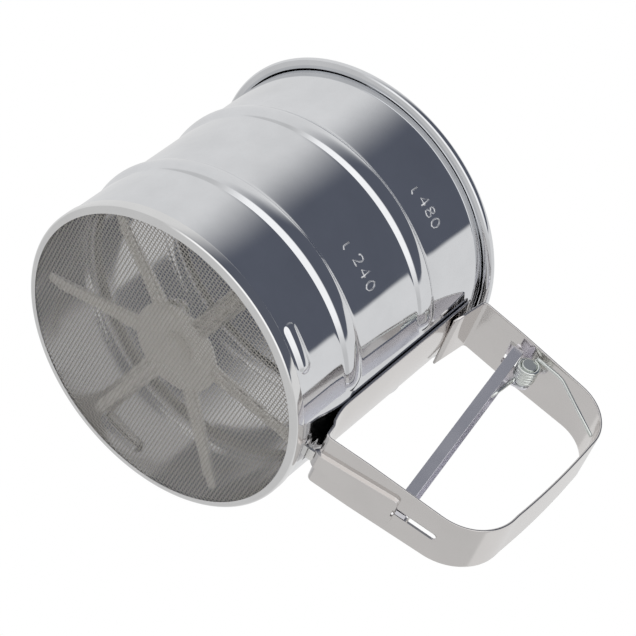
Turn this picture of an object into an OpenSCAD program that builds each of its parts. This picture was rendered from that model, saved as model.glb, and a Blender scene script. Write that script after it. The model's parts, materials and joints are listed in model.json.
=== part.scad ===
// One-hand flour sifter: a stainless cup with a mesh floor, a bent strip handle,
// and a trigger whose link swings a star-shaped agitator to and fro over the mesh.
// The cup stands on its base ring: z = 0 is the ring's underside, the cup's axis is Z,
// and the handle points along +X.

/* [Cup] */
// Outer diameter of the cup wall
cup_d = 100; // [98:1:102]
// Height from the base ring's underside to the top of the rolled rim
cup_h = 97; // [95:1:100]
// Thickness of the cup's sheet
cup_sheet = 0.5; // [0.4:0.1:0.6]
// Height of the lower bead's crest
lower_bead_z = 28; // [27:0.5:30]
// Height of the upper bead's crest
upper_bead_z = 64.2; // [60:0.2:66]
// Width of a bead across its crest
bead_w = 8; // [7:0.5:9]
// How far a bead stands out of the wall
bead_rise = 1.3; // [1:0.1:1.6]
// Angle left plain behind the handle, where no bead runs
bead_gap = 31; // [29:1:34]
// Diameter of the rolled rim's tube
rim_d = 3.5; // [3:0.1:3.6]

/* [Sieve] */
// Height of the base ring's side
ring_h = 4.3; // [3.8:0.1:4.6]
// Thickness of the base ring's sheet
ring_sheet = 0.4; // [0.3:0.1:0.5]
// Inner radius of the base ring's lip, where the mesh begins to show
lip_r = 48.2; // [47.5:0.1:48.5]
// Thickness of the woven mesh over its wires
mesh_t = 0.6; // [0.5:0.1:0.7]

/* [Handle] */
// Width of the handle strip at the cup
strip_w = 21; // [20:0.5:22]
// Width of the handle strip at the grip
grip_w = 18.4; // [17:0.2:20]
// Thickness of the handle strip
strip_t = 0.8; // [0.7:0.1:1]
// Furthest reach of the grip from the cup's axis
grip_x = 108.8; // [107:0.2:111]
// Slope of the lower arm, rising away from the cup
lower_slope = 7.3; // [7:0.1:7.6]
// Slope of the upper arm, falling away from the cup
upper_slope = 1.7; // [1.5:0.1:2]
// Width of the trigger's slot in the lower arm
slot_w = 2.6; // [2.4:0.1:3]

/* [Trigger] */
// Width of the trigger's channel
trigger_w = 14; // [13:0.5:15]
// Depth of the trigger's flanges
trigger_d = 3.5; // [3:0.1:4]
// Lean of the trigger from the vertical when it is let go
trigger_lean = 8.8; // [8.6:0.1:9]
// Wire diameter of the trigger's spring
spring_wire = 1.1; // [1:0.1:1.2]
// Turns in the spring's coil
spring_turns = 5; // [4:1:5]

/* [Agitator] */
// Number of arms on the star
arms = 6; // [5:1:7]
// Radius of the star's tips
star_r = 46.5; // [45:0.5:47]
// Radius of the star's hub plate
hub_r = 15; // [14:0.5:16]
// Width of an arm at its root
arm_root_w = 6.4; // [5:0.2:7]
// Width of an arm at its tip
arm_tip_w = 3.2; // [3:0.2:5]
// Distance of the crank pin from the cup's axis
crank_r = 11; // [11:0.1:11.2]
// Width of the link
link_w = 4.2; // [4:0.1:4.4]

/* [Hidden] */
$fn = 96;

steel = [0.80, 0.81, 0.83];
satin = [0.72, 0.70, 0.68];
dark_steel = [0.42, 0.42, 0.48];
zinc = [0.82, 0.85, 0.82];

// Clearance between parts that move on each other, and a cut's overshoot
gap = 0.1;
over = 1;

// Cup: the wall below the lower bead is a little wider, and the ring slips over it
wall_r = cup_d / 2;
skirt_step = 0.2;
skirt_r = wall_r + skirt_step;
wall_bottom = ring_sheet + 0.3 + mesh_t;
rim_r = rim_d / 2;
rim_centre_r = wall_r + rim_r - cup_sheet / 2;
rim_centre_z = cup_h - rim_r;
wall_top = rim_centre_z - 2;
bead_ball = (pow(bead_w / 2, 2) + bead_rise * bead_rise) / (2 * bead_rise);
bead_path_r = wall_r + bead_rise - bead_ball;
dimple_z = 8;
dimple_ball = 3.2;
dimple_rise = 1.1;
dimple_span = 15;
dimple_angles = [-45.3, 97.8];
bead_end = 0.6;
link_hole_w = link_w + 2;
link_hole_bottom = 9;
link_hole_top = 12.8;

// Handle: where the strip's centre line turns, in the plane of the handle
arm_x = 52.8;
arm_z = 10.5;
upper_z = 91.8;
grip_bulge = 300;
grip_mid_z = 51;
lower_bend = 17;
upper_bend = 15;
base_bend = 1.6;
base_foot_z = 24;
base_top_z = 76;
seam_gap = 0.6;
plate_r = skirt_r + 0.05;
taper_from = 68;
taper_to = 104;

// Boss pressed out of the lower arm to clear the link
boss_depth = 1.4;
boss_len = 27.6;
boss_near_w = 6.2;
boss_far_w = 11;
boss_corner = 1.8;
boss_wall = 0.7;
slot_start = 26.2;
slot_end = 42.2;

// Trigger: it hangs by its hook in the upper arm and swings about it
hook_x = 70.3;
hook_z = 90.85;
web_x = -2.1;
trigger_t = 0.8;
trigger_top = -2.6;
trigger_bottom = -75;
tongue_bottom = -77.6;
tongue_w = 1.8;
tongue_d = 3.2;
tongue_shift = 0.8;
tongue_start = 28.4;
hook_w = 6;
hook_top = 1.6;
tab_half = 2.8;
tab_near = [69, 92.1];
tab_far = [63.2, 92.95];
hole_from = 66.4;
hole_to = 71.4;
hole_w = 7.4;

// Spring and the rivet that it turns on, from the hook
coil_r = 3.65;
coil_x = 6.15;
coil_z = -5.65;
coil_near_y = -7.1;
coil_pitch = spring_wire * 0.97;
rivet_r = 2.4;
tenon_r = 1.4;
tenon_head = 0.6;
ear_y = 0.3;
ear_r = 3;

// Agitator: the star domes down from its hub, and the link drives its crank pin
hub_z = 8;
star_t = 0.8;
dome_from = 13;
dome_slope = 7.1;
crank_rest = -118.2;
crank_pin_r = 1.5;
pivot_r = 2;
bar_z = 13.9;
bar_w = 6.6;
bar_t = 0.8;
bar_angle = 110;
link_t = 0.8;
link_play = 0.85;
link_eye_r = 4.2;
link_end = 33.6;
link_low = -0.5;
link_high = 0.9;

function unit(v) = v / norm(v);
function left_of(v) = [-v.y, v.x];

// Points of an arc of radius r that rounds the corner at b between a and c
function rounded(a, b, c, r, steps = 12) =
    let (u = unit(a - b), w = unit(c - b),
        half = acos(u * w) / 2,
        centre = b + unit(u + w) * r / sin(half),
        from = b + u * r / tan(half) - centre,
        to = b + w * r / tan(half) - centre,
        turn = 180 - 2 * half,
        way = cross(from, to) > 0 ? 1 : -1)
    [for (i = [0 : steps])
        let (g = way * turn * i / steps)
        centre + [from.x * cos(g) - from.y * sin(g), from.x * sin(g) + from.y * cos(g)]];

// Direction of a path at its point i, averaged over the neighbours
function heading(path, i) =
    unit(path[min(i + 1, len(path) - 1)] - path[max(i - 1, 0)]);

// A bent strip seen edge on: a path with thickness t
module ribbon(path, t) {
    outer = [for (i = [0 : len(path) - 1]) path[i] + left_of(heading(path, i)) * t / 2];
    inner = [for (i = [len(path) - 1 : -1 : 0]) path[i] - left_of(heading(path, i)) * t / 2];
    polygon(concat(outer, inner));
}

// Stands a drawing of the handle's plane upright, w wide and centred on y = 0
module upright(w) {
    translate([0, w / 2, 0])
        rotate([90, 0, 0])
            linear_extrude(w)
                children();
}

// Lies along the lower arm: x runs outward along it, z = 0 is its outer face
module on_lower_arm() {
    translate([arm_x, 0, arm_z])
        rotate([0, -lower_slope, 0])
            children();
}

// A point of the lower arm's frame, in the plane of the handle
function arm_point(x, z) =
    [arm_x + x * cos(lower_slope) - z * sin(lower_slope),
        arm_z + x * sin(lower_slope) + z * cos(lower_slope)];

// Hangs from the hook: z runs up along the trigger
module on_trigger() {
    translate([hook_x, 0, hook_z])
        rotate([0, -trigger_lean, 0])
            children();
}

// A bead swept round the cup: the part of a tube of radius r that lies outside from_r
module swept_bead(z, path_r, r, from_r, start, span) {
    rotate([0, 0, start])
        translate([0, 0, z])
            rotate_extrude(angle = span)
                intersection() {
                    translate([path_r, 0])
                        circle(r);
                    translate([from_r, -r])
                        square([wall_r, 2 * r]);
                }
}

// Every bead and dimple: as solid bars standing out of the wall when e is 0,
// and as the hollows inside them when e is the sheet's thickness
module beads(e) {
    wall = e > 0 ? wall_r - 1.5 : wall_r - cup_sheet / 2;
    trim = e > 0 ? bead_end : 0;
    for (z = [lower_bead_z, upper_bead_z])
        swept_bead(z, bead_path_r, bead_ball - e, wall, bead_gap / 2 + trim,
            360 - bead_gap - 2 * trim);
    for (middle = dimple_angles)
        swept_bead(dimple_z, skirt_r + dimple_rise - dimple_ball, dimple_ball - e, wall,
            middle - dimple_span / 2 + trim, dimple_span - 2 * trim);
}

// Half section of the plain wall and its rolled rim: the wall's top curls outward
// and down, and the curl stays open underneath
module wall_section() {
    inner_r = wall_r - cup_sheet;
    polygon([[inner_r + skirt_step, wall_bottom], [skirt_r, wall_bottom],
        [skirt_r, lower_bead_z], [wall_r, lower_bead_z], [wall_r, rim_centre_z],
        [wall_r - cup_sheet / 2, rim_centre_z], [inner_r, wall_top], [inner_r, lower_bead_z],
        [inner_r + skirt_step, lower_bead_z]]);
    translate([rim_centre_r, rim_centre_z])
        difference() {
            circle(rim_r, $fn = 48);
            circle(rim_r - cup_sheet, $fn = 48);
            rotate(-150)
                square([rim_d, 1]);
        }
}

module cup_body() color(steel)
    difference() {
        union() {
            rotate_extrude()
                wall_section();
            beads(0);
        }
        beads(cup_sheet);
        translate([wall_r - 3, -link_hole_w / 2, link_hole_bottom])
            cube([6, link_hole_w, link_hole_top - link_hole_bottom]);
    }

module base_ring() color(steel) {
    corner = 0.9;
    rotate_extrude()
        difference() {
            union() {
                translate([lip_r, 0])
                    square([skirt_r + ring_sheet - corner - lip_r, ring_sheet]);
                translate([skirt_r, corner])
                    square([ring_sheet, ring_h - corner]);
                intersection() {
                    translate([skirt_r + ring_sheet - corner, corner])
                        difference() {
                            circle(corner, $fn = 48);
                            circle(corner - ring_sheet, $fn = 48);
                        }
                    translate([skirt_r + ring_sheet - corner, 0])
                        square(corner);
                }
            }
        }
}

module mesh_screen() color(satin)
    translate([0, 0, ring_sheet + gap])
        cylinder(r = wall_r - 0.3, h = mesh_t);

// The fixed bar that carries the agitator, its ends turned up against the wall
module crossbar() color(satin) {
    reach = skirt_r - cup_sheet - 0.15;
    foot_h = 8;
    lip_h = 1.6;
    rotate([0, 0, bar_angle])
        difference() {
            union() {
                translate([-reach, -bar_w / 2, bar_z])
                    cube([2 * reach, bar_w, bar_t]);
                for (side = [-1, 1])
                    translate([-reach, side > 0 ? bar_w / 2 - bar_t : -bar_w / 2, bar_z])
                        cube([2 * reach, bar_t, lip_h]);
                for (end = [-reach, reach - bar_t])
                    translate([end, -bar_w / 2, bar_z])
                        cube([bar_t, bar_w, foot_h]);
            }
            cylinder(r = pivot_r, h = 3 * bar_z);
        }
}

// The rivet that the star turns on, headed at both ends
module pivot_rivet() color(steel) {
    head_r = 4.6;
    head_h = 1.1;
    translate([0, 0, hub_z - 0.6 - gap - head_h])
        cylinder(r = head_r, h = head_h);
    translate([0, 0, hub_z - 0.6 - gap - over / 2])
        cylinder(r = pivot_r, h = bar_z + bar_t - hub_z + 0.6 + gap + over / 2);
    translate([0, 0, bar_z + bar_t])
        cylinder(r1 = head_r - 0.8, r2 = head_r - 1.6, h = head_h);
}

// Spacer between the star's hub and the crossbar
module pivot_bush() color(satin)
    translate([0, 0, hub_z + star_t + gap])
        difference() {
            cylinder(r = 2.9, h = bar_z - hub_z - star_t - gap);
            translate([0, 0, -over])
                cylinder(r = pivot_r, h = bar_z);
        }

// Washer under the star's hub
module pivot_washer() color(steel)
    translate([0, 0, hub_z - 0.6 - gap])
        difference() {
            cylinder(r = 5.6, h = 0.6);
            translate([0, 0, -over])
                cylinder(r = pivot_r, h = 3 * over);
        }

// One arm of the star: a tapered blade with two pressed ribs, domed down to its tip
module star_arm() {
    length = star_r - dome_from;
    rib_r = 0.75;
    rib_spread = 1.35;
    translate([dome_from, 0, hub_z])
        rotate([0, dome_slope, 0]) {
            linear_extrude(star_t) {
                polygon([[-0.3, -arm_root_w / 2], [length - arm_tip_w / 2, -arm_tip_w / 2],
                    [length - arm_tip_w / 2, arm_tip_w / 2], [-0.3, arm_root_w / 2]]);
                translate([length - arm_tip_w / 2, 0])
                    circle(d = arm_tip_w);
            }
            for (side = [-1, 1])
                translate([1, side * rib_spread, 0])
                    rotate([0, 90, 0])
                        cylinder(r = rib_r, h = length - 5, $fn = 24);
        }
}

module agitator_star() color(satin)
    difference() {
        union() {
            translate([0, 0, hub_z])
                cylinder(r = hub_r, h = star_t);
            for (i = [0 : arms - 1])
                rotate([0, 0, 50 + i * 360 / arms])
                    star_arm();
        }
        translate([0, 0, hub_z - over])
            cylinder(r = pivot_r + 0.08, h = star_t + 2 * over);
        rotate([0, 0, crank_rest])
            translate([crank_r, 0, hub_z - over])
                cylinder(r = crank_pin_r, h = star_t + 2 * over);
    }

// The pin that the link pulls on, peened under the star's hub
module crank_pin() color(steel)
    rotate([0, 0, crank_rest])
        translate([crank_r, 0, 0]) {
            translate([0, 0, hub_z - 0.7])
                cylinder(r = 2.4, h = 0.7);
            translate([0, 0, hub_z])
                cylinder(r = crank_pin_r, h = 5.2);
            translate([0, 0, hub_z + star_t])
                cylinder(r = 2.4, h = 0.6);
        }

// Retaining washer on the top of the crank pin
module crank_washer() color(steel)
    rotate([0, 0, crank_rest])
        translate([crank_r, 0, hub_z + 4.6])
            difference() {
                cylinder(r = 3.2, h = 0.5);
                translate([0, 0, -over])
                    cylinder(r = crank_pin_r, h = 3 * over);
            }

// The link: flat in the cup, then along the boss, then stepped up onto the arm
module drive_link() color(steel) {
    low = link_low + link_t / 2;
    high = link_high + link_t / 2;
    entry = arm_point(-2.7, low);
    tip = arm_point(link_end, high);
    eye = [crank_r * cos(crank_rest), -crank_r * (1 - sin(crank_rest)) / 2];
    elbow = [9, 0];
    neck = eye + 3 * unit(elbow - eye);
    difference() {
        union() {
            intersection() {
                upright(40)
                    ribbon([[-20, entry.y], entry, arm_point(15.6, low), arm_point(17.2, high),
                        tip], link_t);
                translate([0, 0, over])
                    linear_extrude(4 * arm_z)
                        ribbon(concat([neck], rounded(neck, elbow, [tip.x - 1, 0], 6, 5),
                            [[tip.x - 1, 0]]), link_w);
            }
            translate([eye.x, eye.y, entry.y - link_t / 2])
                cylinder(r = link_eye_r, h = link_t);
        }
        translate([eye.x, eye.y, entry.y - link_t])
            cylinder(r = crank_pin_r + link_play, h = 2 * link_t);
        on_lower_arm()
            translate([tongue_start - 0.5, -slot_w / 2, -over])
                cube([tongue_d + 1, slot_w, 5 * over]);
    }
}

// Centre line of the handle strip, from the seam up round the grip to the wall
function grip_point(z) =
    [grip_x - strip_t / 2 - grip_bulge + sqrt(pow(grip_bulge, 2) - pow(z - grip_mid_z, 2)), z];

function handle_path() =
    let (seam = [plate_r + 0.9, base_top_z + seam_gap],
        upper_root = [52.9, upper_z - strip_t / 2],
        upper_far = upper_root + [grip_x - 53, -(grip_x - 53) * tan(upper_slope)],
        lower_root = [arm_x + 0.4, arm_z + strip_t / 2],
        lower_far = lower_root + [grip_x - 53, (grip_x - 53) * tan(lower_slope)],
        grip_top = grip_point(upper_far.y - upper_bend),
        grip_low = grip_point(lower_far.y + lower_bend),
        foot = [plate_r + strip_t / 2 + 0.05, base_foot_z],
        upper_corner = [grip_x - 1.9, upper_far.y],
        lower_corner = [grip_x - 0.5, lower_far.y])
    concat([seam],
        rounded(seam, upper_root, upper_far, base_bend, 4),
        rounded(upper_root, upper_corner, grip_top, upper_bend),
        [for (z = [64, 58, 51, 44, 38]) grip_point(z)],
        rounded(grip_low, lower_corner, lower_root, lower_bend),
        rounded(lower_corner, lower_root, foot, base_bend, 4),
        [foot]);

// Outline of the boss on the lower arm, shrunk by e
module boss_outline(e) {
    near = boss_near_w / 2 - e;
    far = boss_far_w / 2 - e;
    end = boss_len - e;
    r = boss_corner - e;
    polygon([[0, -near], [end - r, -far], [end, -far + r], [end, far - r],
        [end - r, far], [0, near]]);
    for (side = [-1, 1])
        translate([end - r, side * (far - r)])
            circle(r);
}

module handle_strip() color(steel)
    difference() {
        union() {
            intersection() {
                upright(strip_w)
                    ribbon(handle_path(), strip_t);
                translate([0, 0, -over])
                    linear_extrude(cup_h + 2 * over)
                        polygon([[wall_r - 2, -strip_w / 2], [taper_from, -strip_w / 2],
                            [taper_to, -grip_w / 2], [grip_x + 1, -grip_w / 2],
                            [grip_x + 1, grip_w / 2], [taper_to, grip_w / 2],
                            [taper_from, strip_w / 2], [wall_r - 2, strip_w / 2]]);
            }
            // The plate that lies against the wall
            translate([0, 0, base_foot_z - 2])
                rotate([0, 0, -asin(strip_w / 2 / plate_r)])
                    rotate_extrude(angle = 2 * asin(strip_w / 2 / plate_r))
                        translate([plate_r, 0])
                            square([strip_t, base_top_z - base_foot_z + 2]);
            on_lower_arm()
                translate([0.6, 0, -boss_depth])
                    linear_extrude(boss_depth + strip_t / 2)
                        boss_outline(0);
        }
        on_lower_arm() {
            translate([-3, 0, -boss_depth + strip_t])
                linear_extrude(boss_depth + strip_t / 2)
                    translate([0.6 + 3, 0])
                        boss_outline(boss_wall);
            translate([-4, -boss_near_w / 2 + boss_wall, -boss_depth + strip_t])
                cube([5, boss_near_w - 2 * boss_wall, 3.4]);
            translate([slot_start, -slot_w / 2, -boss_depth - over])
                cube([slot_end - slot_start - slot_w / 2, slot_w, boss_depth + 3 * over]);
            translate([slot_end - slot_w / 2, 0, -over])
                cylinder(d = slot_w, h = 3 * over, $fn = 32);
        }
        // The hook's hole in the upper arm
        translate([hole_from, -hole_w / 2, hook_z - 3])
            cube([hole_to - hole_from, hole_w, 6]);
    }

module trigger_bar() color(dark_steel) {
    // Tab of the hook, lying over the upper arm towards the cup
    upright(2 * tab_half)
        ribbon([tab_near, tab_far], trigger_t);
    on_trigger() {
        length = trigger_top - trigger_bottom;
        // Web, facing the cup
        translate([web_x, -trigger_w / 2, trigger_bottom])
            cube([trigger_t, trigger_w, length]);
        // Flanges, pointing at the grip
        for (side = [-1, 1])
            translate([web_x, side > 0 ? trigger_w / 2 - trigger_t : -trigger_w / 2,
                    trigger_bottom])
                cube([trigger_d, trigger_t, length]);
        // Neck of the hook, through the upper arm
        translate([web_x, -hook_w / 2, trigger_top - over])
            cube([trigger_t, hook_w, over - trigger_top + hook_top]);
        // Tongue into the link and the slot
        translate([web_x + tongue_shift, -tongue_w / 2, tongue_bottom])
            cube([tongue_d, tongue_w, trigger_bottom - tongue_bottom + trigger_t]);
        translate([web_x, -trigger_w / 2, trigger_bottom])
            cube([trigger_d, trigger_w, trigger_t]);
        // Ear inside the channel that carries the spring's rivet
        rotate([0, trigger_lean, 0])
            difference() {
                translate([coil_x, ear_y + trigger_t, coil_z])
                    rotate([90, 0, 0])
                        linear_extrude(trigger_t) {
                            circle(ear_r);
                            polygon([[-0.6, ear_r], [-6.9, 1], [-6.2, -5], [0.6, -ear_r + 0.1]]);
                        }
                translate([coil_x, trigger_w, coil_z])
                    rotate([90, 0, 0])
                        cylinder(r = tenon_r, h = trigger_w);
            }
    }
}

module at_coil() {
    translate([hook_x + coil_x, 0, hook_z + coil_z])
        rotate([90, 0, 0])
            children();
}

// The rivet inside the coil, its thin end peened in the trigger's ear
module spring_rivet() color(steel)
    at_coil() {
        back = ear_y + trigger_t + tenon_head;
        translate([0, 0, -ear_y])
            cylinder(r = rivet_r, h = ear_y - coil_near_y + 0.6);
        translate([0, 0, -back])
            cylinder(r = tenon_r, h = trigger_t + tenon_head + gap);
        translate([0, 0, -back])
            cylinder(r = tenon_r + 0.9, h = tenon_head);
    }

// A straight length of round wire from a to b
module wire(a, b, d) {
    v = b - a;
    translate(a)
        rotate([0, acos(v.z / norm(v)), atan2(v.y, v.x)])
            cylinder(d = d, h = norm(v), $fn = 24);
}

// The torsion spring: a close coil, one leg to the grip, one leg down the trigger
module trigger_spring() color(zinc) {
    mean_r = coil_r - spring_wire / 2;
    leg_gap = spring_wire + 0.02;
    far_y = coil_near_y + (spring_turns - 1) * coil_pitch + leg_gap;
    coil = [hook_x + coil_x, 0, hook_z + coil_z];
    at_coil()
        rotate_extrude($fn = 48)
            for (i = [0 : spring_turns - 1])
                translate([mean_r, -(coil_near_y + i * coil_pitch)])
                    circle(d = spring_wire, $fn = 24);
    near_y = coil_near_y - leg_gap;
    near_top = coil + [-1, near_y, mean_r - 0.1];
    knee = [86.5, near_y, 88.5];
    toe = [105.6, near_y, 77.3];
    wire(near_top, knee, spring_wire);
    wire(knee, toe, spring_wire);
    translate(knee)
        sphere(d = spring_wire + 0.06, $fn = 24);
    wire(coil + [-mean_r - 0.2, far_y, 1], coil + [-mean_r - 0.4, far_y, -13], spring_wire);
}

cup_body();
base_ring();
mesh_screen();
crossbar();
pivot_rivet();
pivot_bush();
pivot_washer();
agitator_star();
crank_pin();
crank_washer();
drive_link();
handle_strip();
trigger_bar();
spring_rivet();
trigger_spring();
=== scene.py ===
"""Looks for the one-hand flour sifter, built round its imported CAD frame.

Lengths in this file are in millimetres unless a name ends in _m; MM turns them into metres.
"""
import json
import math

import bmesh
import bpy
import numpy as np
from mathutils import Matrix, Vector


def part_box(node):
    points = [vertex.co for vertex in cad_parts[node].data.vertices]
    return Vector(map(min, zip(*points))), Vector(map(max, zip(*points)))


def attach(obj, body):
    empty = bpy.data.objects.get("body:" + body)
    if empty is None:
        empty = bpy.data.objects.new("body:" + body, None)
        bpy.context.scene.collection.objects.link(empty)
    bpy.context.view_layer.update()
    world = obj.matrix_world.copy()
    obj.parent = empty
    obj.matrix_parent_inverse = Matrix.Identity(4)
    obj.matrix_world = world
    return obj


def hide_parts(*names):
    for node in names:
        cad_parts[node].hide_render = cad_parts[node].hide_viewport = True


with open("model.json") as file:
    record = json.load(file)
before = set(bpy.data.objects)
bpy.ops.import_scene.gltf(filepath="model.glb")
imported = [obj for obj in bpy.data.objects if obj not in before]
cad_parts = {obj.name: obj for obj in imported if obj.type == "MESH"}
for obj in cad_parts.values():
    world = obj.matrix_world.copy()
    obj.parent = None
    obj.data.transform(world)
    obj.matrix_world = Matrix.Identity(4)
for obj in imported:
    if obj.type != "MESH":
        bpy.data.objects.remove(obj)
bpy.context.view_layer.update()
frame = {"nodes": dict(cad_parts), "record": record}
MM = 0.001
SLOT_OF = {p["node"]: p["material_slot"] for p in frame["record"]["subparts"]}

# Cup
WALL_R = 50.0
SHEET = 0.5
SKIRT_STEP = 0.2
WALL_BOTTOM = 1.3
RIM_R = 1.75
RIM_CENTRE = (51.5, 95.25)
BEADS = (28.0, 64.2)
BEAD_BALL = 6.8
BEAD_RISE = 1.3
BEAD_HALF = 4.0
BEAD_TIP_DEG = 15.5
DIMPLES = ((-45.3, 8.0), (97.8, 8.0))
DIMPLE_BALL = 3.2
DIMPLE_RISE = 1.1
DIMPLE_HALF_SPAN = 5.6


# ---------------------------------------------------------------- mesh helpers

def make_mesh(name, points, faces, material, body, smooth=True):
    """A mesh object from points in mm, riding on a body."""
    mesh = bpy.data.meshes.new(name)
    mesh.from_pydata((np.asarray(points, float) * MM).tolist(), [], faces)
    mesh.validate()
    if smooth:
        mesh.shade_smooth()
    mesh.materials.append(material)
    obj = bpy.data.objects.new(name, mesh)
    bpy.context.scene.collection.objects.link(obj)
    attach(obj, body)
    return obj


def grid_faces(rows, cols, wrap_rows=False, wrap_cols=False, start=0):
    """Quads between neighbouring rows and columns of a grid of points."""
    faces = []
    for i in range(rows if wrap_rows else rows - 1):
        for j in range(cols if wrap_cols else cols - 1):
            k, n = (i + 1) % rows, (j + 1) % cols
            faces.append((start + i * cols + j, start + i * cols + n,
                          start + k * cols + n, start + k * cols + j))
    return faces


def lathe(name, profile, material, body, steps=240):
    """A closed half section, given as (radius, height) points, turned about Z."""
    angles = np.linspace(0, 2 * math.pi, steps, endpoint=False)
    points = [(r * math.cos(a), r * math.sin(a), z) for r, z in profile for a in angles]
    faces = grid_faces(len(profile), steps, wrap_rows=True, wrap_cols=True)
    return make_mesh(name, points, faces, material, body)


def arc(cx, cy, r, start, end, count):
    """Points of an arc, its angles in degrees."""
    return [(cx + r * math.cos(math.radians(a)), cy + r * math.sin(math.radians(a)))
            for a in np.linspace(start, end, count)]


def tube_points(path, radius, sides=8):
    """Rings of a round tube along a path, with its closed faces."""
    path = [Vector(p) for p in path]
    points, faces = [], []
    normal = None
    for i, p in enumerate(path):
        tangent = (path[min(i + 1, len(path) - 1)] - path[max(i - 1, 0)]).normalized()
        if normal is None:
            side = Vector((0, 0, 1)) if abs(tangent.z) < 0.9 else Vector((1, 0, 0))
            normal = tangent.cross(side).normalized()
        normal = (normal - tangent * normal.dot(tangent)).normalized()
        other = tangent.cross(normal)
        for k in range(sides):
            a = 2 * math.pi * k / sides
            points.append(p + radius * (normal * math.cos(a) + other * math.sin(a)))
    faces = [tuple(reversed(f)) for f in grid_faces(len(path), sides, wrap_cols=True)]
    last = (len(path) - 1) * sides
    faces.append(tuple(range(sides)))
    faces.append(tuple(last + k for k in reversed(range(sides))))
    return points, faces


def join_parts(parts):
    """Several (points, faces) pairs as one."""
    points, faces = [], []
    for p, f in parts:
        start = len(points)
        points.extend(p)
        faces.extend(tuple(i + start for i in face) for face in f)
    return points, faces


def cut(obj, cutter_points, cutter_faces):
    """Cuts a closed shape out of obj for good."""
    mesh = bpy.data.meshes.new("cutter")
    mesh.from_pydata((np.asarray(cutter_points, float) * MM).tolist(), [], cutter_faces)
    tool = bpy.data.objects.new("cutter", mesh)
    bpy.context.scene.collection.objects.link(tool)
    bm = bmesh.new()
    bm.from_mesh(mesh)
    bmesh.ops.recalc_face_normals(bm, faces=bm.faces)
    bm.to_mesh(mesh)
    bm.free()
    boolean = obj.modifiers.new("cut", "BOOLEAN")
    boolean.operation = "DIFFERENCE"
    boolean.solver = "EXACT"
    boolean.object = tool
    bpy.context.view_layer.update()
    result = bpy.data.meshes.new_from_object(
        obj.evaluated_get(bpy.context.evaluated_depsgraph_get()))
    obj.modifiers.remove(boolean)
    obj.data = result
    bpy.data.objects.remove(tool)


def prism(outline, low, high, to_world):
    """A closed prism: an outline of (x, y) points raised from low to high in its own frame."""
    n = len(outline)
    points = [to_world(x, y, low) for x, y in outline] + [to_world(x, y, high) for x, y in outline]
    faces = [tuple(reversed(range(n))), tuple(range(n, 2 * n))]
    faces += [(i, (i + 1) % n, n + (i + 1) % n, n + i) for i in range(n)]
    return points, faces


# ------------------------------------------------------------------- materials

class Nodes:
    """Short calls for building a node tree."""

    def __init__(self, tree):
        self.tree = tree

    def add(self, kind, **settings):
        node = self.tree.nodes.new(kind)
        for key, value in settings.items():
            setattr(node, key, value)
        return node

    def link(self, out, socket):
        self.tree.links.new(out, socket)

    def put(self, value, socket):
        if isinstance(value, bpy.types.NodeSocket):
            self.link(value, socket)
        else:
            socket.default_value = value

    def math(self, operation, a, b=None):
        node = self.add("ShaderNodeMath", operation=operation)
        self.put(a, node.inputs[0])
        if b is not None:
            self.put(b, node.inputs[1])
        return node.outputs[0]

    def smooth(self, value, low, high, to_low=0.0, to_high=1.0):
        node = self.add("ShaderNodeMapRange", interpolation_type="SMOOTHSTEP")
        self.link(value, node.inputs[0])
        for i, v in enumerate((low, high, to_low, to_high), 1):
            node.inputs[i].default_value = v
        return node.outputs[0]

    def noise(self, vector, scale, detail=3.0, roughness=0.5):
        node = self.add("ShaderNodeTexNoise")
        self.link(vector, node.inputs["Vector"])
        node.inputs["Scale"].default_value = scale
        node.inputs["Detail"].default_value = detail
        node.inputs["Roughness"].default_value = roughness
        return node.outputs["Fac"]

    def mix(self, factor, a, b):
        node = self.add("ShaderNodeMix", data_type="RGBA")
        self.put(factor, node.inputs[0])
        self.put(a, node.inputs[6])
        self.put(b, node.inputs[7])
        return node.outputs[2]

    def scaled(self, vector, scale):
        node = self.add("ShaderNodeMapping")
        self.link(vector, node.inputs["Vector"])
        node.inputs["Scale"].default_value = scale
        return node.outputs[0]


def metal(name, colour, roughness, rough_spread, grain_scale, grain_depth, wave_depth=0.0,
          smudge=0.06, wave_scale=28.0):
    """Sheet steel: colour and roughness vary with smudges, and fine drawing lines and
    slow waves in the sheet bend the reflections."""
    mat = bpy.data.materials.new(name)
    mat.use_nodes = True
    n = Nodes(mat.node_tree)
    shader = mat.node_tree.nodes["Principled BSDF"]
    where = n.add("ShaderNodeTexCoord").outputs["Object"]
    cloud = n.noise(where, 55.0, 4.0, 0.6)
    dark = tuple(c * (1 - smudge) for c in colour) + (1.0,)
    light = tuple(min(c * (1 + smudge), 1.0) for c in colour) + (1.0,)
    n.link(n.mix(cloud, dark, light), shader.inputs["Base Color"])
    shader.inputs["Metallic"].default_value = 1.0
    lines = n.noise(n.scaled(where, grain_scale), 1.0, 2.0, 0.6)
    rough = n.smooth(cloud, 0.25, 0.75, roughness - rough_spread, roughness + rough_spread)
    n.link(rough, shader.inputs["Roughness"])
    bump = n.add("ShaderNodeBump")
    bump.inputs["Strength"].default_value = 1.0
    bump.inputs["Distance"].default_value = grain_depth * MM
    n.link(lines, bump.inputs["Height"])
    if wave_depth:
        wave = n.add("ShaderNodeBump")
        wave.inputs["Strength"].default_value = 1.0
        wave.inputs["Distance"].default_value = wave_depth * MM
        n.link(n.noise(where, wave_scale, 1.0, 0.4), wave.inputs["Height"])
        n.link(wave.outputs[0], bump.inputs["Normal"])
    n.link(bump.outputs[0], shader.inputs["Normal"])
    return mat


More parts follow.
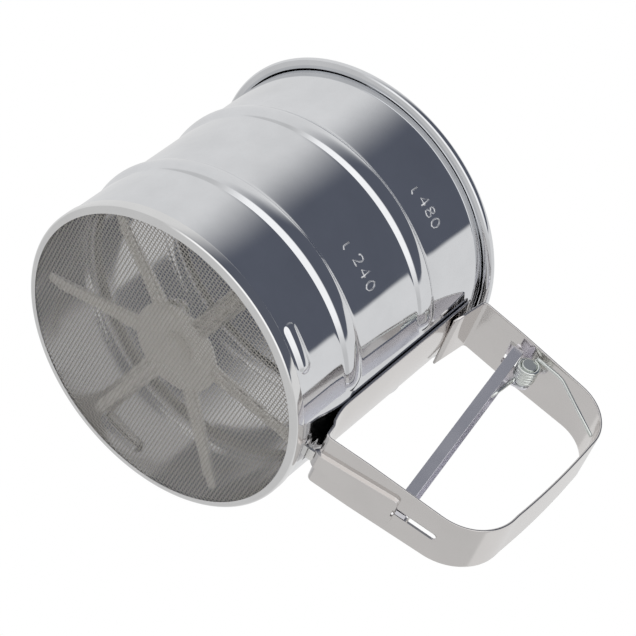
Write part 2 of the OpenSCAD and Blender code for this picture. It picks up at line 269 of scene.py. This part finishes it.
POLISHED = metal("polished_sheet", (0.80, 0.81, 0.83), 0.05, 0.02, (60, 60, 1200), 0.0004,
                 wave_depth=0.35, smudge=0.12, wave_scale=34.0)
INSIDE = metal("inner_sheet", (0.66, 0.66, 0.67), 0.12, 0.04, (60, 60, 1200), 0.0004,
               wave_depth=0.3)
RING = metal("ring_sheet", (0.84, 0.84, 0.84), 0.07, 0.03, (60, 60, 1200), 0.0004,
             wave_depth=0.1)
WIRE = metal("mesh_wire", (0.60, 0.575, 0.545), 0.34, 0.06, (900, 900, 900), 0.002)
SATIN = metal("satin_strip", (0.92, 0.91, 0.89), 0.26, 0.06, (900, 900, 200), 0.001,
              wave_depth=0.15)
HANDLE = metal("handle_steel", (0.79, 0.765, 0.75), 0.13, 0.04, (60, 900, 60), 0.00015,
               wave_depth=0.1)
TRIGGER = metal("trigger_steel", (0.92, 0.91, 0.98), 0.26, 0.05, (700, 700, 60), 0.0001,
                wave_depth=0.03)
ZINC = metal("zinc_wire", (0.86, 0.89, 0.86), 0.2, 0.05, (400, 400, 400), 0.001)
# The capacity marks are the wall's own steel. Their colour is lighter than the polished sheet as a
# painted highlight, and their greater roughness is the real finish.
MARK_PAINTED_HIGHLIGHT = metal("mark_ridge_painted_highlight", (0.86, 0.87, 0.89), 0.3, 0.05, (400, 400, 400), 0.001)


# ------------------------------------------------------------------------- cup

def spaced(start, end, step):
    """Even steps from start up to, but not including, end."""
    count = max(1, round((end - start) / step))
    return list(np.linspace(start, end, count, endpoint=False))


def ball_rise(distance, ball, rise):
    """Height of a pressed bead at a distance from its centre line, its foot filleted."""
    crest = ball - rise
    half = math.sqrt(ball ** 2 - crest ** 2)
    inside = np.sqrt(np.maximum(ball ** 2 - np.minimum(distance, half) ** 2, 0)) - crest
    height = inside - np.maximum(distance - half, 0) * half / crest
    fillet = 0.22
    return 0.5 * (height + np.sqrt(height ** 2 + fillet ** 2))


def wall_offset(theta, z):
    """How far the wall stands out of its plain cylinder, at an angle in degrees."""
    around = (theta + 180) % 360 - 180
    per_degree = WALL_R * math.pi / 180
    total = np.zeros(np.broadcast(theta, z).shape)
    end = BEAD_TIP_DEG + BEAD_HALF / per_degree
    for centre in BEADS:
        along = np.maximum(end - np.abs(around), 0) * per_degree
        total = np.maximum(total, ball_rise(np.hypot(along, z - centre), BEAD_BALL, BEAD_RISE))
    for middle, centre in DIMPLES:
        away = np.abs((theta - middle + 180) % 360 - 180) * per_degree
        along = np.maximum(away - DIMPLE_HALF_SPAN, 0)
        total = np.maximum(total, ball_rise(np.hypot(along, z - centre), DIMPLE_BALL,
                                            DIMPLE_RISE))
    skirt = np.clip((BEADS[0] - z) / 2 + 0.5, 0, 1)
    return total + SKIRT_STEP * skirt


def build_cup():
    coarse, fine = 1.25, 0.42
    breaks = [(-180, -56, coarse), (-56, -52, fine), (-52, -39, coarse), (-39, -34, fine),
              (-34, -26, coarse), (-26, -14, fine), (-14, 14, coarse), (14, 26, fine),
              (26, 88, coarse), (88, 93, fine), (93, 103, coarse), (103, 108, fine),
              (108, 180, coarse)]
    theta = np.array([t for a, b, s in breaks for t in spaced(a, b, s)])
    heights = [WALL_BOTTOM] + spaced(1.8, 4.6, 1.4) + spaced(4.6, 11.4, 0.42)
    last = 11.4
    for centre in BEADS:
        heights += spaced(last, centre - 5, 3.2)
        heights += spaced(centre - 5, centre - 3.2, 0.25)
        heights += spaced(centre - 3.2, centre + 3.2, 0.5)
        heights += spaced(centre + 3.2, centre + 5, 0.25)
        last = centre + 5
    heights += spaced(last, 93.4, 3.0) + [93.4]
    outer = [(WALL_R, z, 1.0) for z in heights] + [(WALL_R, 94.4, 0.0)]
    cx, cz = RIM_CENTRE
    curl = [(r, z, 0.0) for r, z in arc(cx, cz, RIM_R - SHEET, 180, -140, 9)]
    curl += [(r, z, 0.0) for r, z in arc(cx, cz, RIM_R, -140, 180, 22)]
    inner = [(WALL_R - SHEET, z, 1.0) for z in reversed(heights)]
    rows = outer + curl + inner
    points = []
    for r, z, beaded in rows:
        radius = r + beaded * wall_offset(theta, z)
        points.append(np.stack([radius * np.cos(np.radians(theta)),
                                radius * np.sin(np.radians(theta)),
                                np.full(theta.shape, z)], axis=1))
    faces = grid_faces(len(rows), len(theta), wrap_rows=True, wrap_cols=True)
    faces = [tuple(reversed(f)) for f in faces]
    cup = make_mesh("cup_shell", np.concatenate(points), faces, POLISHED, "cup")
    inner_from = (len(outer) + len(curl)) * len(theta)
    cup.data.materials.append(INSIDE)
    for polygon in cup.data.polygons:
        if min(polygon.vertices) >= inner_from:
            polygon.material_index = 1
    window = prism([(46, -3.1), (54, -3.1), (54, 3.1), (46, 3.1)], 9.0, 12.8,
                   lambda x, y, z: (x, y, z))
    cut(cup, *window)
    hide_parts("cup_body")
    return cup


def build_ring():
    profile = arc(50.35, 4.05, 0.25, 0, 90, 4) + arc(50.35, 4.05, 0.15, 90, 180, 3)
    profile += arc(48.9, 1.7, 1.3, 0, -90, 8)
    profile += [(48.4, 0.4)] + arc(48.35, 0.2, 0.2, 90, 270, 5)
    profile += arc(48.9, 1.7, 1.7, -90, 0, 14)
    ring = lathe("base_ring_sheet", profile, RING, "cup", 300)
    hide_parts("base_ring")


def build_mesh_screen():
    """Plain weave: two sets of wires, each going over and under the other."""
    pitch, wire_r, wave, reach = 1.12, 0.17, 0.15, 49.5
    middle, turn = 0.82, math.radians(8.8)
    parts_p, parts_f, start = [], [], 0
    count = int(reach / pitch)
    for family in (0, 1):
        along = np.array([math.cos(turn + family * math.pi / 2),
                          math.sin(turn + family * math.pi / 2), 0])
        across = np.array([-along[1], along[0], 0])
        for i in range(-count, count + 1):
            offset = i * pitch
            half = math.sqrt(max(reach ** 2 - offset ** 2, 0))
            steps = max(int(half / pitch * 2), 1)
            s = np.arange(-steps, steps + 1) * pitch / 2
            phase = math.pi * (s / pitch + i + family)
            line = (offset * across[None, :] + s[:, None] * along[None, :])
            line[:, 2] = middle + wave * np.cos(phase)
            rings = np.stack([line + across * wire_r, line + [0, 0, wire_r],
                              line - across * wire_r, line - [0, 0, wire_r]], axis=1)
            parts_p.append(rings.reshape(-1, 3))
            parts_f.extend(grid_faces(len(s), 4, wrap_cols=True, start=start))
            parts_f.append((start, start + 1, start + 2, start + 3))
            tail = start + (len(s) - 1) * 4
            parts_f.append((tail + 3, tail + 2, tail + 1, tail))
            start += len(s) * 4
    screen = make_mesh("woven_wires", np.concatenate(parts_p), parts_f, WIRE, "cup")
    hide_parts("mesh_screen")


# ---------------------------------------------------------------------- handle

STRIP_T = 0.8
ARM_X, ARM_Z, LOWER_SLOPE = 52.8, 10.5, math.radians(7.3)
UPPER_Z, UPPER_SLOPE = 91.8, math.radians(1.7)
GRIP_X, GRIP_BULGE, GRIP_MID = 108.8, 300.0, 51.0
PLATE_R = 50.25
STRIP_HALF, GRIP_HALF = 10.5, 9.2
TAPER_FROM, TAPER_TO = 68.0, 104.0
BOSS_DEPTH, BOSS_LEN, BOSS_NEAR, BOSS_FAR = 1.4, 28.2, 3.1, 5.5
BOSS_CORNER, BOSS_WALL = 1.8, 0.2
HOOK_HOLE = [(66.4, -3.7), (71.4, -3.7)]


def arm_point(x, z):
    """A point of the lower arm's frame in the handle's plane; z = 0 is its outer face."""
    c, s = math.cos(LOWER_SLOPE), math.sin(LOWER_SLOPE)
    return Vector((ARM_X + x * c - z * s, ARM_Z + x * s + z * c))


def rounded(a, b, c, r, steps):
    """Points of the arc of radius r that rounds the corner b between a and c."""
    u, w = (a - b).normalized(), (c - b).normalized()
    half = math.acos(max(-1, min(1, u.dot(w)))) / 2
    centre = b + (u + w).normalized() * r / math.sin(half)
    start = b + u * r / math.tan(half) - centre
    end = b + w * r / math.tan(half) - centre
    turn = math.pi - 2 * half
    way = 1 if start.x * end.y - start.y * end.x > 0 else -1
    out = []
    for i in range(steps + 1):
        g = way * turn * i / steps
        out.append(centre + Vector((start.x * math.cos(g) - start.y * math.sin(g),
                                    start.x * math.sin(g) + start.y * math.cos(g))))
    return out


def grip_point(z):
    drop = math.sqrt(GRIP_BULGE ** 2 - (z - GRIP_MID) ** 2)
    return Vector((GRIP_X - STRIP_T / 2 - GRIP_BULGE + drop, z))


def handle_line():
    """Middle line of the strip, from the free end at the top seam round to the base plate."""
    half_t = STRIP_T / 2
    span = GRIP_X - 53
    seam = Vector((PLATE_R + 1.25, 77.0))
    upper_root = Vector((52.9, UPPER_Z - half_t))
    upper_far = upper_root + Vector((span, -span * math.tan(UPPER_SLOPE)))
    lower_root = Vector((ARM_X + 0.4, ARM_Z + half_t))
    lower_far = lower_root + Vector((span, span * math.tan(LOWER_SLOPE)))
    upper_corner = Vector((GRIP_X - 1.9, upper_far.y))
    lower_corner = Vector((GRIP_X - 0.5, lower_far.y))
    foot = Vector((PLATE_R + half_t + 0.05, 24.0))
    line = [seam, (seam + upper_root) / 2]
    line += rounded(seam, upper_root, upper_far, 1.6, 6)
    first = rounded(upper_root, upper_corner, grip_point(upper_far.y - 15), 15, 22)
    line += [line[-1].lerp(first[0], t) for t in np.linspace(0, 1, 14)[1:-1]]
    line += first
    last = rounded(grip_point(lower_far.y + 17), lower_corner, lower_root, 17, 26)
    line += [grip_point(z) for z in np.linspace(first[-1].y - 2, last[0].y + 2, 16)]
    line += last
    arm_end = rounded(lower_corner, lower_root, foot, 1.6, 6)
    boss_start = arm_point(BOSS_LEN + 0.1, STRIP_T / 2)
    boss_walls = arm_point(BOSS_LEN - BOSS_CORNER - 0.2, STRIP_T / 2)
    for a, b, step in ((last[-1], boss_start, 1.5), (boss_start, boss_walls, 0.1),
                       (boss_walls, arm_end[0], 1.0)):
        steps = max(2, round((b - a).length / step))
        line += [a.lerp(b, t / steps) for t in range(1, steps + 1)]
    line.pop()
    line += arm_end
    line += [arm_end[-1].lerp(foot, t) for t in np.linspace(0, 1, 8)[1:]]
    line += [Vector((foot.x, z)) for z in np.linspace(26, 88, 40)]
    return line


def boss_half(x):
    """Half the boss's width at a distance along the lower arm."""
    return BOSS_NEAR + (BOSS_FAR - BOSS_NEAR) * np.clip((x - 1) / (BOSS_LEN - 1), 0, 1)


def boss_depth(x, y):
    """Depth of the boss at a point of the lower arm, measured outward."""
    dx = x - (BOSS_LEN - BOSS_CORNER)
    dy = np.abs(y) - (boss_half(x) - BOSS_CORNER)
    outside = np.hypot(np.maximum(dx, 0), np.maximum(dy, 0)) - BOSS_CORNER
    edge = -(outside + np.minimum(np.maximum(dx, dy), 0))
    return BOSS_DEPTH * np.clip(edge / BOSS_WALL, 0, 1)


def strip_columns(half, boss):
    """Places across the strip, close together on the boss's walls and the rounded edges."""
    wall = [boss - BOSS_CORNER - 0.1 + k * 0.17 for k in range(10)]
    wall += [boss + away for away in (-0.28, -0.22, -0.2, -0.18, -0.1, -0.02, 0, 0.02, 0.08)]
    middle = [max(boss - BOSS_CORNER - 0.3, 0.2) * k / 4 for k in range(5)]
    edge = [half * 0.5 + boss * 0.5 + 0.1, half - 0.9, half - 0.4, half - 0.22, half - 0.1,
            half - 0.02]
    side = middle[1:] + wall + edge
    return np.array([-v for v in reversed(side)] + [0.0] + side)


def plate_x(y, z, off, flat):
    """Where the base plate stands: flat at the arm's bend, wrapped round the wall above."""
    wrapped = np.sqrt((PLATE_R + STRIP_T / 2 + off) ** 2 - y ** 2)
    blend = np.clip((z - ARM_Z - 1.5) / 15, 0, 1)
    blend = blend * blend * (3 - 2 * blend)
    return flat * (1 - blend) + wrapped * blend


def build_handle():
    line = handle_line()
    points = []
    for i, p in enumerate(line):
        ahead = line[min(i + 1, len(line) - 1)] - line[max(i - 1, 0)]
        ahead.normalize()
        out = Vector((-ahead.y, ahead.x))
        share = min(max((p.x - TAPER_FROM) / (TAPER_TO - TAPER_FROM), 0), 1)
        half = STRIP_HALF + (GRIP_HALF - STRIP_HALF) * share
        local = Vector((p.x - ARM_X, p.y - ARM_Z))
        along = local.x * math.cos(LOWER_SLOPE) + local.y * math.sin(LOWER_SLOPE)
        on_arm = p.y < 24 and out.y < -0.5
        y = strip_columns(half, float(boss_half(along if on_arm else 0)))
        press = boss_depth(along, y) if on_arm else np.zeros(len(y))
        inset = half - np.abs(y)
        thick = np.where(inset < 0.4, np.sqrt(0.16 - (0.4 - np.minimum(inset, 0.4)) ** 2), 0.4)
        on_plate = out.x < -0.9 and p.x < 52 and i > len(line) // 2
        for side in (1, -1):
            off = side * thick
            x = p.x + out.x * (off + press)
            z = p.y + out.y * (off + press)
            if on_plate:
                x = plate_x(y, p.y, -off, x)
            row = np.stack([x, y, z], axis=1)
            points.append(row if side == 1 else row[::-1])
    rows, ring = len(line), 2 * len(y)
    points = np.concatenate(points)
    faces = grid_faces(rows, ring, wrap_cols=True)
    faces.append(tuple(reversed(range(ring))))
    faces.append(tuple((rows - 1) * ring + k for k in range(ring)))
    handle = make_mesh("handle_sheet", points, faces, HANDLE, "cup")
    bm = bmesh.new()
    bm.from_mesh(handle.data)
    bmesh.ops.recalc_face_normals(bm, faces=bm.faces)
    bm.to_mesh(handle.data)
    bm.free()
    slot_half = 1.3

    def on_arm_frame(x, y, z):
        p = arm_point(x, z)
        return (p.x, y, p.y)

    slot = [(27.5, -slot_half), (40.9, -slot_half)]
    slot += arc(40.9, 0, slot_half, -80, 80, 7) + [(40.9, slot_half), (27.5, slot_half)]
    cut(handle, *prism(slot, -4, 4, on_arm_frame))
    hole = HOOK_HOLE + [(x, -y) for x, y in reversed(HOOK_HOLE)]
    cut(handle, *prism(hole, 89, 93, lambda x, y, z: (x, y, z)))
    window = [(50.2, -2.4), (54.2, -2.4), (54.2, 2.4), (50.2, 2.4)]
    cut(handle, *prism(window, 10.2, 12.9, lambda x, y, z: (x, y, z)))
    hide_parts("handle_strip")


# ---------------------------------------------------------------------- spring

def build_spring():
    rivet_low, rivet_high = (Vector(corner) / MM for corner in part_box("spring_rivet"))
    middle = (rivet_low + rivet_high) / 2
    centre = Vector((middle.x, 0, middle.z))
    wire_r, coil_r, turns, near, pitch = 0.62, 3.1, 4.6, -7.3, 1.22
    coil = []
    steps = 28
    for i in range(int(turns * steps) + 1):
        a = math.pi / 2 - 2 * math.pi * i / steps
        coil.append(centre + Vector((coil_r * math.cos(a), near + pitch * i / steps,
                                     coil_r * math.sin(a))))
    # The leg runs beside the rivet's end, which leaves the coil room to turn with the trigger
    leg_y = -8.55
    knee = Vector((86.5, leg_y, 88.2))
    toe = Vector((105.4, leg_y, 77.4))
    first = Vector((coil[0].x, leg_y, coil[0].z))
    bend = [knee + (toe - knee).normalized() * 1.6, knee + Vector((0.35, 0, -0.35)),
            knee + (first - knee).normalized() * 1.6]
    leg = [toe, toe.lerp(knee, 0.5)] + bend + [knee.lerp(first, 0.6), knee.lerp(first, 1.0)]
    end = coil[-1]
    tail = [end + Vector((-0.2, 0.3, -2.4)), end + Vector((-0.5, 0.4, -7.0)),
            end + Vector((-0.9, 0.4, -11.5))]
    points, faces = tube_points(coil + tail, wire_r, 10)
    spring = make_mesh("spring_coil", points, faces, ZINC, "trigger")
    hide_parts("trigger_spring")
    # The long leg keeps its hold on the grip, so it rides on the cup
    points, faces = tube_points(leg, wire_r, 10)
    make_mesh("spring_leg", points, faces, ZINC, "cup")


# ----------------------------------------------------------------------- marks

DIGITS = {
    "0": [[(0.5, 1), (0.85, 0.85), (1, 0.5), (0.85, 0.15), (0.5, 0), (0.15, 0.15), (0, 0.5),
           (0.15, 0.85), (0.5, 1)]],
    "2": [[(0.05, 0.78), (0.2, 0.96), (0.5, 1), (0.85, 0.92), (0.92, 0.7), (0.7, 0.42),
           (0.1, 0), (1, 0)]],
    "4": [[(0.75, 0), (0.75, 1), (0, 0.3), (1, 0.3)]],
    "8": [[(0.5, 0.53), (0.12, 0.68), (0.15, 0.92), (0.5, 1), (0.85, 0.92), (0.88, 0.68),
           (0.5, 0.53), (0.05, 0.34), (0.1, 0.08), (0.5, 0), (0.9, 0.08), (0.95, 0.34),
           (0.5, 0.53)]],
}


def build_marks():
    """Capacity marks: a tick and a number pressed into relief on the wall."""
    parts = []

    def stroke(path, theta0, z0):
        line = []
        for u, v in path:
            a = math.radians(theta0 + math.degrees(u / WALL_R))
            r = WALL_R - 0.03
            line.append((r * math.cos(a), r * math.sin(a), z0 + v))
        parts.append(tube_points(line, 0.27, 8))

    for text, tick_at, first, step, z0 in (("240", -62.8, -57.6, 4.9, 41.2),
                                           ("480", -63.5, -59.6, 4.3, 75.4)):
        stroke([(0, 3.2), (0, 0.6), (0.9, 0)], tick_at, z0 - 1)
        for i, digit in enumerate(text):
            for path in DIGITS[digit]:
                stroke([(u * 2.5, v * 3.9) for u, v in path], first + i * step, z0)
    points, faces = join_parts(parts)
    make_mesh("capacity_marks", points, faces, MARK_PAINTED_HIGHLIGHT, "cup")


# ---------------------------------------------------------------------- studio

CAMERA_AIM = (26.8, -19.8, 35.0)
CAMERA_DISTANCE = 780
CAMERA_AZIMUTH, CAMERA_ELEVATION, CAMERA_ROLL = -71.42, -39.44, 51.62
CAMERA_LENS = 151.15


def build_camera():
    azimuth, elevation = math.radians(CAMERA_AZIMUTH), math.radians(CAMERA_ELEVATION)
    level = Vector((-math.sin(azimuth), math.cos(azimuth), 0))
    back = Vector((math.cos(elevation) * math.cos(azimuth),
                   math.cos(elevation) * math.sin(azimuth), math.sin(elevation)))
    roll = math.radians(CAMERA_ROLL)
    right = level * math.cos(roll) + back.cross(level) * math.sin(roll)
    up = back.cross(right)
    spot = (Vector(CAMERA_AIM) + back * CAMERA_DISTANCE) * MM
    data = bpy.data.cameras.new("camera")
    data.sensor_width = 36
    data.lens = CAMERA_LENS
    data.clip_start = 0.01
    data.clip_end = 20
    camera = bpy.data.objects.new("camera", data)
    turn = Matrix((right, up, back)).transposed()
    camera.matrix_world = Matrix.Translation(spot) @ turn.to_4x4()
    bpy.context.scene.collection.objects.link(camera)
    bpy.context.scene.camera = camera


def build_floor():
    mat = bpy.data.materials.new("pale_floor")
    mat.use_nodes = True
    n = Nodes(mat.node_tree)
    shader = mat.node_tree.nodes["Principled BSDF"]
    shader.inputs["Base Color"].default_value = (0.86, 0.86, 0.86, 1)
    shader.inputs["Roughness"].default_value = 0.7
    clear = n.add("ShaderNodeBsdfTransparent")
    mix = n.add("ShaderNodeMixShader")
    n.link(n.add("ShaderNodeNewGeometry").outputs["Backfacing"], mix.inputs[0])
    n.link(shader.outputs[0], mix.inputs[1])
    n.link(clear.outputs[0], mix.inputs[2])
    n.link(mix.outputs[0], mat.node_tree.nodes["Material Output"].inputs[0])
    mesh = bpy.data.meshes.new("floor")
    half = 3.0
    corners = [(-half, -half, 0), (half, -half, 0), (half, half, 0), (-half, half, 0)]
    mesh.from_pydata(corners, [], [(0, 1, 2, 3)])
    mesh.materials.append(mat)
    floor = bpy.data.objects.new("floor", mesh)
    bpy.context.scene.collection.objects.link(floor)
    floor.visible_diffuse = False
    floor.visible_glossy = False
    floor.visible_transmission = False
    floor.visible_shadow = False


# A plain studio: soft light all round, a pale table, one dark card beside the camera and
# one low soft box under it. Compass angles are in degrees, heights from -1 to 1.
ROOM_LIGHT = (0.75, 0.75, 0.75)
TABLE_LIGHT = (0.60, 0.60, 0.60)
BOX_LIGHT = (1.10, 1.10, 1.10)
CARD_LIGHT = (0.10, 0.11, 0.14)
CARD_SOFT_EDGE = (-140, -90)
CARD_SHARP_EDGE = (-8, -12)
BOX_SOFT_EDGE = (-140, -110)
BOX_FAR_EDGE = (0, -30)
BOX_BOTTOM = (-0.55, -0.40)
TABLE_EDGE = (0.10, 0.0)


def build_world():
    world = bpy.data.worlds.new("studio")
    bpy.context.scene.world = world
    world.use_nodes = True
    n = Nodes(world.node_tree)
    split = n.add("ShaderNodeSeparateXYZ")
    n.link(n.add("ShaderNodeTexCoord").outputs["Generated"], split.inputs[0])
    compass = n.math("DEGREES", n.math("ARCTAN2", split.outputs[1], split.outputs[0]))
    card = n.math("MULTIPLY", n.smooth(compass, *CARD_SOFT_EDGE),
                  n.smooth(compass, *CARD_SHARP_EDGE))
    colour = n.mix(card, (*ROOM_LIGHT, 1), (*CARD_LIGHT, 1))
    height = split.outputs[2]
    box = n.math("MULTIPLY", n.smooth(compass, *BOX_SOFT_EDGE),
                 n.smooth(compass, *BOX_FAR_EDGE))
    box = n.math("MULTIPLY", box, n.smooth(height, *BOX_BOTTOM))
    table = n.mix(box, (*TABLE_LIGHT, 1), (*BOX_LIGHT, 1))
    colour = n.mix(n.smooth(height, *TABLE_EDGE), colour, table)
    camera_ray = n.add("ShaderNodeLightPath").outputs["Is Camera Ray"]
    colour = n.mix(camera_ray, colour, (1, 1, 1, 1))
    background = world.node_tree.nodes["Background"]
    n.link(colour, background.inputs["Color"])
    background.inputs["Strength"].default_value = 1.0


# ------------------------------------------------------------ CAD nodes in view

# Width of the rounded edges of the plain CAD nodes; the rivet's end becomes a dome
EDGE_ROUNDS = {"trigger_bar": 0.22, "drive_link": 0.15, "crossbar": 0.2, "spring_rivet": 1.6}
LOOKS = {"satin_strip": SATIN, "handle_steel": HANDLE, "trigger_steel": TRIGGER,
         "zinc_wire": ZINC, "polished_sheet": POLISHED, "woven_mesh": WIRE}


def round_edges(node, width):
    """Bevels a CAD node's sharp edges, after joining its split corners."""
    weld = node.modifiers.new("join_corners", "WELD")
    weld.merge_threshold = 0.01 * MM
    flat = node.modifiers.new("flat_faces", "DECIMATE")
    flat.decimate_type = "DISSOLVE"
    flat.angle_limit = math.radians(1)
    bevel = node.modifiers.new("edge_round", "BEVEL")
    bevel.width = width * MM
    bevel.segments = 3
    bevel.limit_method = "ANGLE"
    bevel.angle_limit = math.radians(40)
    bevel.harden_normals = True


def dress_nodes():
    for node_name, node in frame["nodes"].items():
        look = ZINC if node_name == "spring_rivet" else LOOKS[SLOT_OF[node_name]]
        for material_slot in node.material_slots:
            material_slot.material = look
        if node_name in EDGE_ROUNDS:
            round_edges(node, EDGE_ROUNDS[node_name])


bpy.context.scene.view_settings.view_transform = "Standard"
build_camera()
build_cup()
build_ring()
build_mesh_screen()
build_handle()
build_spring()
build_marks()
dress_nodes()
build_floor()
build_world()
